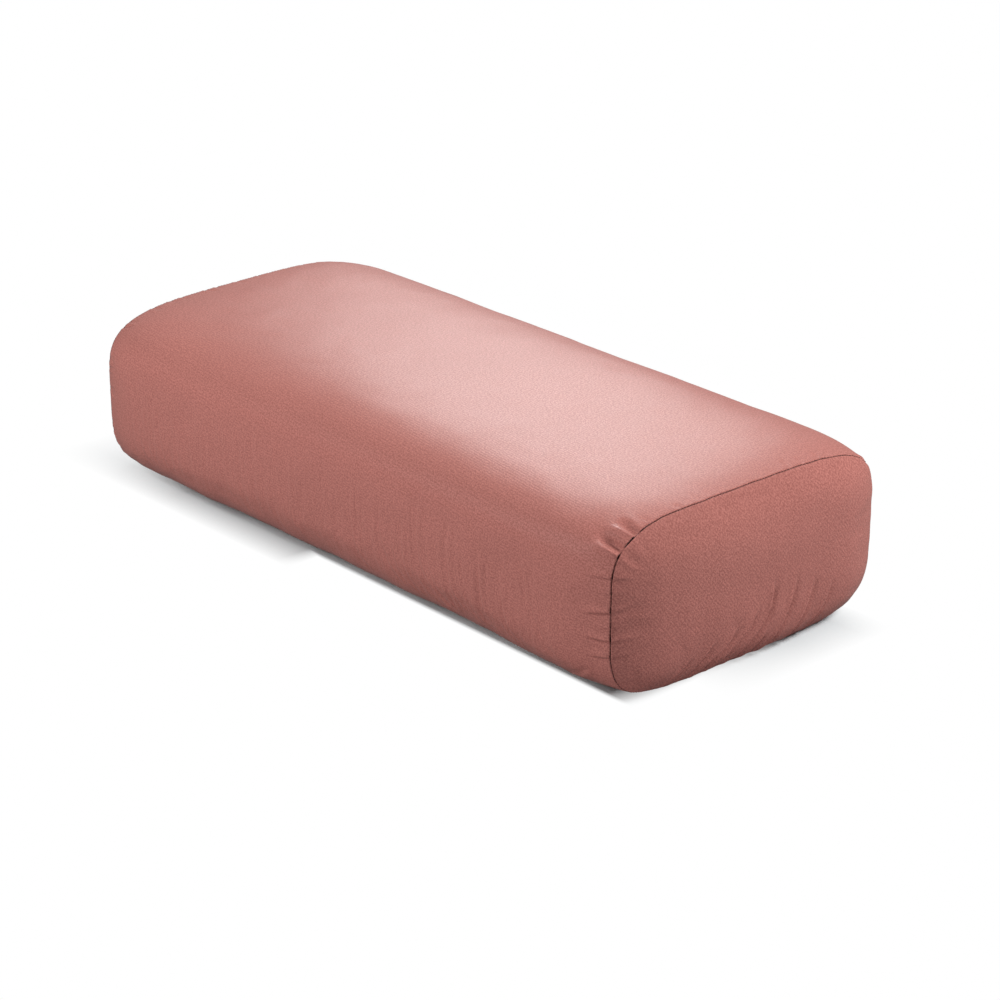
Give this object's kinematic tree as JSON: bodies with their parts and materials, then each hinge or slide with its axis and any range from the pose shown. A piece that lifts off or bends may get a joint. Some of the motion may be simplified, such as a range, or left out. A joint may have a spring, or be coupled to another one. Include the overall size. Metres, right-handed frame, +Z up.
{
  "type": "rectangular yoga bolster",
  "caption": "Firm rectangular yoga bolster in a dusty rose twill cover with seamed bulged ends, a long zip along its back, a carrying strap and a lined, wadding-filled insert.",
  "frame": {"origin": "centre of the flat base, midway between the two end seams", "axes": "+X along the bolster towards the plain end, +Y towards the zipped back, +Z up"},
  "size_m": [0.6887, 0.3092, 0.1469],
  "materials": {
    "dusty_rose_twill": "matte",
    "strap_twill": "matte",
    "zip_tape_weave": "matte",
    "zip_tooth_plastic": "satin",
    "zip_slider_metal": "satin",
    "liner_cotton": "matte",
    "cotton_wadding": "matte"
  },
  "bodies": {
    "bolster": {"cover_body_panel": "dusty_rose_twill", "cover_end_near": "dusty_rose_twill", "cover_end_far": "dusty_rose_twill", "carry_strap": "strap_twill", "insert_liner": "liner_cotton", "wadding_layer_1": "cotton_wadding", "wadding_layer_2": "cotton_wadding", "wadding_layer_3": "cotton_wadding", "wadding_layer_4": "cotton_wadding", "wadding_layer_5": "cotton_wadding", "zip_tape_upper": "zip_tape_weave", "zip_tape_lower": "zip_tape_weave", "zip_teeth_upper": "zip_tooth_plastic", "zip_teeth_lower": "zip_tooth_plastic", "zip_top_stop_upper": "zip_tooth_plastic", "zip_top_stop_lower": "zip_tooth_plastic", "zip_bottom_stop": "zip_tooth_plastic"},
    "slider": {"zip_slider": "zip_slider_metal"},
    "pull": {"zip_pull": "zip_slider_metal"}
  },
  "joints": [
    {"name": "zip_slide", "type": "slide", "parent": "bolster", "child": "slider", "axis": [-1, 0, 0], "range_m": [0, 0.42], "deforming": ["zip_teeth_upper", "zip_teeth_lower"]},
    {"name": "pull_turn", "type": "hinge", "parent": "slider", "child": "pull", "pos_m": [0.21015, 0.15461, 0.08063], "axis": [0, 0, -1], "range_deg": [0, 180]}
  ]
}
